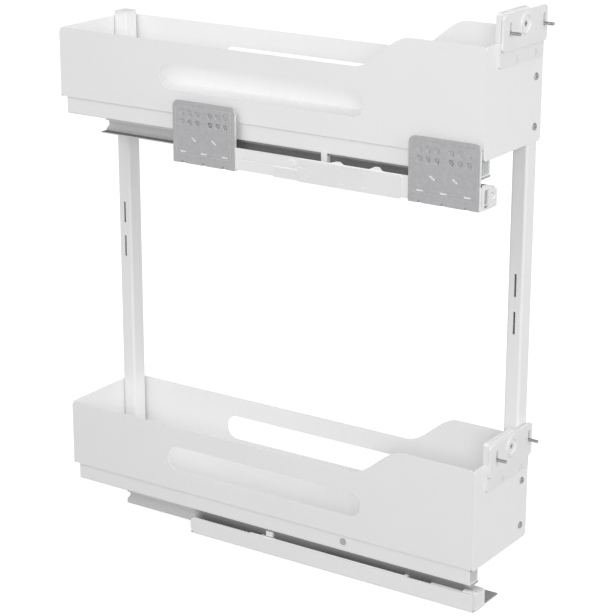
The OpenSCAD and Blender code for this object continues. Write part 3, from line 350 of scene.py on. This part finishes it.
hook = {"upTo": 0.0081, "facesUp": 0.9}
recess = {"deeper": 0.0008, "wide": 0.008, "facesDoor": -0.6}
groove = {"deeper": 0.0001, "within": 0.0008, "low": 0.0095, "high": 0.0109}
plate = {"margin": 0.0025, "foldEdge": 0.0012, "acrossSheet": 0.3, "facesDoor": -0.6}
floorEdge = {"facesWall": -0.6}


def hookTop(middle, normal, low, high, s):
    # the face of the hook flange that looks up: on the wall side, in the rail's lower half; it gets painted
    # shade
    onFlange = (normal[:, 2] > s["facesUp"]) & (middle[:, 0] < low[0] + s["upTo"])
    return onFlange & (middle[:, 2] < (low[2] + high[2]) / 2)


def capRecess(middle, normal, low, high, s):
    # the sunk faces on the wall side of the cap's door end, which get painted shade
    sunk = (normal[:, 1] < s["facesDoor"]) & (middle[:, 1] > low[1] + s["deeper"])
    return sunk & (middle[:, 0] < low[0] + s["wide"])


def grooveFaces(middle, normal, low, high, s):
    # the floor and the two flanks of the groove in the channel's near wall, which get painted shade
    x, z = middle[:, 0] - low[0], middle[:, 2] - low[2]
    return (x > s["deeper"]) & (x < s["within"]) & (z > s["low"]) & (z < s["high"])


def holeWalls(middle, normal, low, high, s):
    # every wall that crosses the sheet, away from the outline, and the fold's edge towards the door; these
    # get painted light
    flat = middle[:, 1:]
    inside = np.all((flat > low[1:] + s["margin"]) & (flat < high[1:] - s["margin"]), 1)
    foldEdge = (normal[:, 1] < s["facesDoor"]) & (middle[:, 1] < low[1] + s["foldEdge"])
    return ((np.abs(normal[:, 0]) < s["acrossSheet"]) & inside) | foldEdge


def nearEdge(middle, normal, low, high, s):
    # the floor plate's faces towards the wall side, which get painted light
    return normal[:, 0] < s["facesWall"]


paintFaces("upper_tray_rail", deepShadeZinc, hookTop, hook)
paintFaces("upper_channel_end_cap", shadedPlastic, capRecess, recess)
paintFaces("upper_channel", shadedPlastic, grooveFaces, groove)
paintFaces("front_wall_plate", paintedLightZinc, holeWalls, plate)
paintFaces("rear_wall_plate", paintedLightZinc, holeWalls, plate)
paintFaces("floor_plate", paintedLightZinc, nearEdge, floorEdge)

# surfaces worked out on a grid


def gridFaces(rows, cols, first):
    # quads between neighbouring rows and columns; the columns run round, and both ends are closed
    row, col = np.meshgrid(np.arange(rows - 1), np.arange(cols), indexing="ij")
    here, after = row * cols + col, row * cols + (col + 1) % cols
    quads = np.stack([here, after, after + cols, here + cols], -1)
    faces = (quads.reshape(-1, 4) + first).tolist()
    faces.append((np.arange(cols) + first).tolist())
    faces.append((np.arange(cols)[::-1] + (rows - 1) * cols + first).tolist())
    return faces


def surfacePiece(name, grids, material, body):
    # one mesh from several closed grids of points, each rows x columns x 3, with its faces outwards
    faces, first = [], 0
    for grid in grids:
        rows, cols = grid.shape[:2]
        faces += gridFaces(rows, cols, first)
        first += rows * cols
    mesh = bpy.data.meshes.new(name)
    mesh.from_pydata(np.concatenate([grid.reshape(-1, 3) for grid in grids]).tolist(), [], faces)
    work = bmesh.new()
    work.from_mesh(mesh)
    bmesh.ops.recalc_face_normals(work, faces=work.faces)
    work.to_mesh(mesh)
    work.free()
    mesh.polygons.foreach_set("use_smooth", [True] * len(mesh.polygons))
    mesh.materials.append(material)
    piece = bpy.data.objects.new(name, mesh)
    bpy.context.scene.collection.objects.link(piece)
    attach(piece, body)
    return piece


def rebuiltPiece(node, grids, material):
    # a surface piece in the place of one of the frame's
    piece = surfacePiece(camelCase(node), grids, material, bodyOf[node])
    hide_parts(node)
    return piece


def smoothStep(value):
    # 0 below 0, 1 above 1, and a smooth ramp between
    t = np.clip(value, 0, 1)
    return t * t * (3 - 2 * t)


def turned(profile, count):
    # a profile of (radius, height) rows carried round the Z axis
    angle = np.linspace(0, 2 * np.pi, count, endpoint=False)
    radius, height = profile[:, 0, None], profile[:, 1, None]
    x, y = radius * np.cos(angle), radius * np.sin(angle)
    return np.stack([x, y, np.broadcast_to(height, x.shape)], -1)


def alongY(points, place, direction):
    # turns a screw's own axis +Z to -Y (direction 1) or +Y (direction -1) and puts its seat at place
    x, y, z = points[..., 0], points[..., 1], points[..., 2]
    return np.stack([x, -direction * z, direction * y], -1) + np.array(place)


screwHead = {
    "tipShare": 0.7, "tipLength": 0.0006, "seatShare": 0.97, "edgeShare": 0.08, "rimShare": 0.3,
    "domeFrom": 1.45, "domeTo": 0.03, "domeRings": 22, "sides": 64,
    "armWide": 0.17, "armFade": 0.07, "armReach": 0.66, "reachFade": 0.1, "crossDepth": 0.75,
}


def panHead(s):
    # shank, flat seat and a domed head: radius x sine, height x (rim + rest x cosine), and its top
    # sinks in a cross by a depth x the greater of two arms, each a product of smooth steps
    r, h, shank = s["radius"], s["height"], s["shank"]
    rim = np.array([
        [s["tipShare"] * shank, -s["length"]], [shank, -s["length"] + s["tipLength"]], [shank, 0],
        [s["seatShare"] * r, 0], [r, s["edgeShare"] * h], [r, s["rimShare"] * h],
    ])
    lift = np.linspace(s["domeFrom"], s["domeTo"], s["domeRings"])
    domeHeight = h * (s["rimShare"] + (1 - s["rimShare"]) * np.cos(lift))
    dome = np.stack([r * np.sin(lift), domeHeight], 1)
    points = turned(np.concatenate([rim, dome]), s["sides"])
    across = np.abs(points[len(rim):, :, :2] / r)
    narrow = smoothStep((s["armWide"] - across) / s["armFade"])
    reach = smoothStep((s["armReach"] - across[..., ::-1]) / s["reachFade"])
    points[len(rim):, :, 2] -= s["crossDepth"] * h * (narrow * reach).max(-1)
    return points


postScrew = {**screwHead, "radius": 0.0034, "height": 0.0016, "shank": 0.0016, "length": 0.009,
             "overFloor": (0.0125, 0.058)}
baseScrew = {**screwHead, "radius": 0.0028, "height": 0.0010, "shank": 0.0015, "length": 0.0035,
             "overBase": 0.005}


def makePostScrews(s):
    # two screws at each end of each tray: the node's box gives their outermost places
    low, high = boxOf("post_screws")
    x = (low[0] + high[0]) / 2
    lowUp, highUp = s["overFloor"]
    floors = [low[2] + s["radius"] - lowUp, high[2] - s["radius"] - highUp]
    ends = [(low[1] + s["height"], 1), (high[1] - s["height"], -1)]
    screws = [alongY(panHead(s), (x, y, floor + up), direction)
              for floor in floors for up in s["overFloor"] for y, direction in ends]
    rebuiltPiece("post_screws", screws, coats["screw_steel"])


def makeBracketScrews(s):
    # two screws in the foot of each bracket base, at the two ends of the node's box
    low, high = boxOf("bracket_screws")
    y = low[1] + s["height"]
    heights = [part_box(base)[0][2] + s["overBase"] for base in ("upper_bracket_base", "lower_bracket_base")]
    screws = [alongY(panHead(s), (x, y, z), 1)
              for z in heights for x in (low[0] + s["radius"], high[0] - s["radius"])]
    rebuiltPiece("bracket_screws", screws, paleScrew)


makePostScrews(postScrew)
makeBracketScrews(baseScrew)

doorScrew = {
    "radius": 0.0015, "core": 0.00125, "pitch": 0.0006, "rowsPerPitch": 6, "sides": 32,
    "sharpness": 1.5, "tipLength": 0.0007, "tipShare": 0.8, "tipIn": 0.0014,
    "neck": 0.00135, "neckLength": 0.0027, "headRadius": 0.0036, "headHeight": 0.0018,
    "backShare": 0.6, "edgeShare": 0.8,
}


def threadedStud(s, length):
    # head and neck behind, then a stud whose radius rises and falls along a helix:
    # core + depth x triangle wave of (height / pitch - angle / full turn), drawn in at its tip
    height = np.arange(0, length, s["pitch"] / s["rowsPerPitch"])[:, None]
    angle = np.linspace(0, 2 * np.pi, s["sides"], endpoint=False)
    phase = height / s["pitch"] - angle / (2 * np.pi)
    tooth = np.minimum(1, s["sharpness"] * np.abs(2 * (phase - np.floor(phase)) - 1))
    tip = smoothStep((length - height) / s["tipLength"])
    radius = (s["core"] + (s["radius"] - s["core"]) * tooth) * (s["tipShare"] + (1 - s["tipShare"]) * tip)
    up = np.broadcast_to(height + s["neckLength"], radius.shape)
    stud = np.stack([radius * np.cos(angle), radius * np.sin(angle), up], -1)
    back = np.array([
        [s["backShare"] * s["headRadius"], -s["headHeight"]],
        [s["headRadius"], -s["edgeShare"] * s["headHeight"]],
        [s["headRadius"], 0], [s["neck"], 0], [s["neck"], s["neckLength"]],
    ])
    return np.concatenate([turned(back, s["sides"]), stud])


def makeDoorScrews(node, s):
    low, high = boxOf(node)
    seat = high[1] - s["headHeight"]
    length = seat - s["neckLength"] - low[1] - s["tipIn"]
    z = (low[2] + high[2]) / 2
    studs = [alongY(threadedStud(s, length), (x, seat, z), 1)
             for x in (low[0] + s["headRadius"], high[0] - s["headRadius"])]
    rebuiltPiece(node, studs, coats["screw_steel"])


for tray in ("upper", "lower"):
    makeDoorScrews(tray + "_door_screws", doorScrew)

springShape = {"wire": 0.0006, "closedCurls": 1.5, "pointsPerCurl": 24, "sides": 10}
springs = {
    "upper": {**springShape, "curls": 30, "free": 0.069, "pressed": 0.031},
    "lower": {**springShape, "curls": 40, "free": 0.095, "pressed": 0.057},
}


def springWire(s, low, high):
    # a round wire on a helix; the curls lie side by side at both ends and open evenly between
    wire, closed, curls = s["wire"], s["closedCurls"], s["curls"]
    mean = (high[0] - low[0] - wire) / 2
    turns = np.linspace(0, curls, curls * s["pointsPerCurl"] + 1)
    openLength = (high[1] - low[1]) - wire * (1 + 2 * closed)
    share = np.clip((turns - closed) / (curls - 2 * closed), 0, 1)
    endTurns = np.minimum(turns, closed) + np.maximum(turns - curls + closed, 0)
    y = low[1] + wire / 2 + wire * endTurns + openLength * share
    angle = 2 * np.pi * turns
    outward = np.stack([np.cos(angle), np.zeros_like(angle), np.sin(angle)], -1)
    axis = np.array([(low[0] + high[0]) / 2, 0, (low[2] + high[2]) / 2])
    path = axis + mean * outward + np.stack([0 * y, y, 0 * y], -1)
    run = np.gradient(path, axis=0)
    run /= np.linalg.norm(run, axis=1, keepdims=True)
    across = np.cross(run, outward)
    side = np.linspace(0, 2 * np.pi, s["sides"], endpoint=False)[None, :, None]
    ring = np.cos(side) * outward[:, None] + np.sin(side) * across[:, None]
    return path[:, None] + wire / 2 * ring


def makeSpring(tray, s):
    # the spring's wire, on a mesh of its own; in the runner it shortens as the catch slides and its end
    # towards the door stays where it is
    node = tray + "_closing_spring"
    low, high = boxOf(node)
    spring = rebuiltPiece(node, [springWire(s, low, high)], coats["screw_steel"])
    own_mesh(spring)


for tray, settings in springs.items():
    makeSpring(tray, settings)

lance = {
    "holeTop": 0.011, "slopeDrop": 0.0247, "levelDrop": 0.0372, "slopeSpread": 0.0115,
    "levelSpread": 0.024, "slopeSize": (0.006, 0.0016), "levelSize": (0.007, 0.0018),
    "slopeTurn": 35, "depth": 0.0014, "thick": 0.0005, "rows": 17,
    "bulge": 1.5, "fit": 0.96, "lift": 0.00002,
}


def pressedTongue(s, place, size, degrees):
    # a strip bent inwards: depth x cosine along its length x a power of the place across it,
    # so it is flush at its lower long edge and at both ends, and deepest in the middle of the upper
    along = np.linspace(-0.5, 0.5, s["rows"])[:, None]
    ring = np.array([[-0.5, 0], [-0.25, 0], [0, 0], [0.25, 0], [0.5, 0], [0.5, 1], [0, 1], [-0.5, 1]])
    across, layer = ring.T[:, None]
    inwards = s["depth"] * np.cos(np.pi * along) * (across + 0.5) ** s["bulge"]
    x = inwards + s["thick"] * layer + s["lift"]
    u, v = along * size[0] + 0 * across, across * size[1] * s["fit"] + 0 * along
    t = math.radians(degrees)
    return np.stack([x, u * math.cos(t) - v * math.sin(t), u * math.sin(t) + v * math.cos(t)], -1) + place


def makeLances(node, s):
    # two sloping tongues under the holes and three level ones near the plate's foot, in a lighter zinc that
    # is painted light
    low, high = boxOf(node)
    middle = (low[1] + high[1]) / 2
    row = high[2] - s["holeTop"]
    tongues = [pressedTongue(s, (low[0], middle + side * s["slopeSpread"], row - s["slopeDrop"]),
                             s["slopeSize"], s["slopeTurn"]) for side in (-1, 1)]
    tongues += [pressedTongue(s, (low[0], middle + side * s["levelSpread"], row - s["levelDrop"]),
                              s["levelSize"], 0) for side in (-1, 0, 1)]
    surfacePiece(camelCase(node) + "Lances", tongues, paintedLightZinc, bodyOf[node])


for node in ("front_wall_plate", "rear_wall_plate"):
    makeLances(node, lance)
print("screws, springs and lances made")

# floor, backdrop and light

studio = {
    "floorLevel": -0.0002, "floorSize": 40.0, "floorGrey": 0.35, "floorLift": 0.9,
    "skyLight": 0.67,
    "keyPower": 20.0, "keySize": 1.6, "keyPlace": (-0.3, -2.6, 1.2),
    "topPower": 16.0, "topSize": 1.6, "topPlace": (-1.4, 0.8, 2.2),
    "fillPower": 20.0, "fillSize": 0.6, "fillPlace": (-2.26, -1.47, 1.11),
    "aim": (0.02, 0.07, 0.27),
}


def anyOf(tree, *sockets):
    # 1 where one of the sockets is 1
    found = sockets[0]
    for socket in sockets[1:]:
        most = tree.nodes.new("ShaderNodeMath")
        most.operation = "MAXIMUM"
        tree.links.new(found, most.inputs[0])
        tree.links.new(socket, most.inputs[1])
        found = most.outputs[0]
    return found


def whiteToCamera(tree, lit, strength):
    # adds plain white for camera, glossy and transmission rays
    rays = tree.nodes.new("ShaderNodeLightPath")
    glow = tree.nodes.new("ShaderNodeEmission")
    glow.inputs["Strength"].default_value = strength
    both = tree.nodes.new("ShaderNodeAddShader")
    pick = tree.nodes.new("ShaderNodeMixShader")
    kinds = ("Is Camera Ray", "Is Glossy Ray", "Is Transmission Ray")
    seen = anyOf(tree, *(rays.outputs[kind] for kind in kinds))
    tree.links.new(lit, both.inputs[0])
    tree.links.new(glow.outputs[0], both.inputs[1])
    tree.links.new(seen, pick.inputs["Fac"])
    tree.links.new(lit, pick.inputs[1])
    tree.links.new(both.outputs[0], pick.inputs[2])
    return pick.outputs[0]


def makeFloor(s):
    mesh = bpy.data.meshes.new("floor")
    half, z = s["floorSize"] / 2, s["floorLevel"]
    corners = [(-half, -half, z), (half, -half, z), (half, half, z), (-half, half, z)]
    mesh.from_pydata(corners, [], [(0, 1, 2, 3)])
    floor = bpy.data.objects.new("floor", mesh)
    bpy.context.scene.collection.objects.link(floor)
    mat = bpy.data.materials.new("paleFloor")
    mat.use_nodes = True
    tree = mat.node_tree
    tree.nodes.clear()
    matt = tree.nodes.new("ShaderNodeBsdfDiffuse")
    matt.inputs["Color"].default_value = (s["floorGrey"],) * 3 + (1,)
    out = tree.nodes.new("ShaderNodeOutputMaterial")
    tree.links.new(whiteToCamera(tree, matt.outputs[0], s["floorLift"]), out.inputs["Surface"])
    mesh.materials.append(mat)


def makeSky(s):
    world = bpy.data.worlds.new("sky")
    bpy.context.scene.world = world
    world.use_nodes = True
    tree = world.node_tree
    tree.nodes.clear()
    soft = tree.nodes.new("ShaderNodeBackground")
    soft.inputs["Strength"].default_value = s["skyLight"]
    plain = tree.nodes.new("ShaderNodeBackground")
    plain.inputs["Strength"].default_value = 1.0
    rays = tree.nodes.new("ShaderNodeLightPath")
    pick = tree.nodes.new("ShaderNodeMixShader")
    out = tree.nodes.new("ShaderNodeOutputWorld")
    seen = anyOf(tree, rays.outputs["Is Camera Ray"], rays.outputs["Is Transmission Ray"])
    tree.links.new(seen, pick.inputs["Fac"])
    tree.links.new(soft.outputs[0], pick.inputs[1])
    tree.links.new(plain.outputs[0], pick.inputs[2])
    tree.links.new(pick.outputs[0], out.inputs["Surface"])


def softBox(name, s):
    # a square lamp that looks at the middle of the part
    data = bpy.data.lights.new(name, "AREA")
    data.shape, data.size, data.energy = "SQUARE", s[name + "Size"], s[name + "Power"]
    lamp = bpy.data.objects.new(name, data)
    bpy.context.scene.collection.objects.link(lamp)
    lamp.visible_camera = False
    lamp.location = s[name + "Place"]
    lamp.rotation_mode = "QUATERNION"
    lamp.rotation_quaternion = (Vector(s["aim"]) - Vector(s[name + "Place"])).to_track_quat("-Z", "Y")


makeFloor(studio)
makeSky(studio)
for name in ("key", "top", "fill"):
    softBox(name, studio)
bpy.context.scene.view_settings.view_transform = "Standard"
print("studio ready")

bpy.context.view_layer.update()
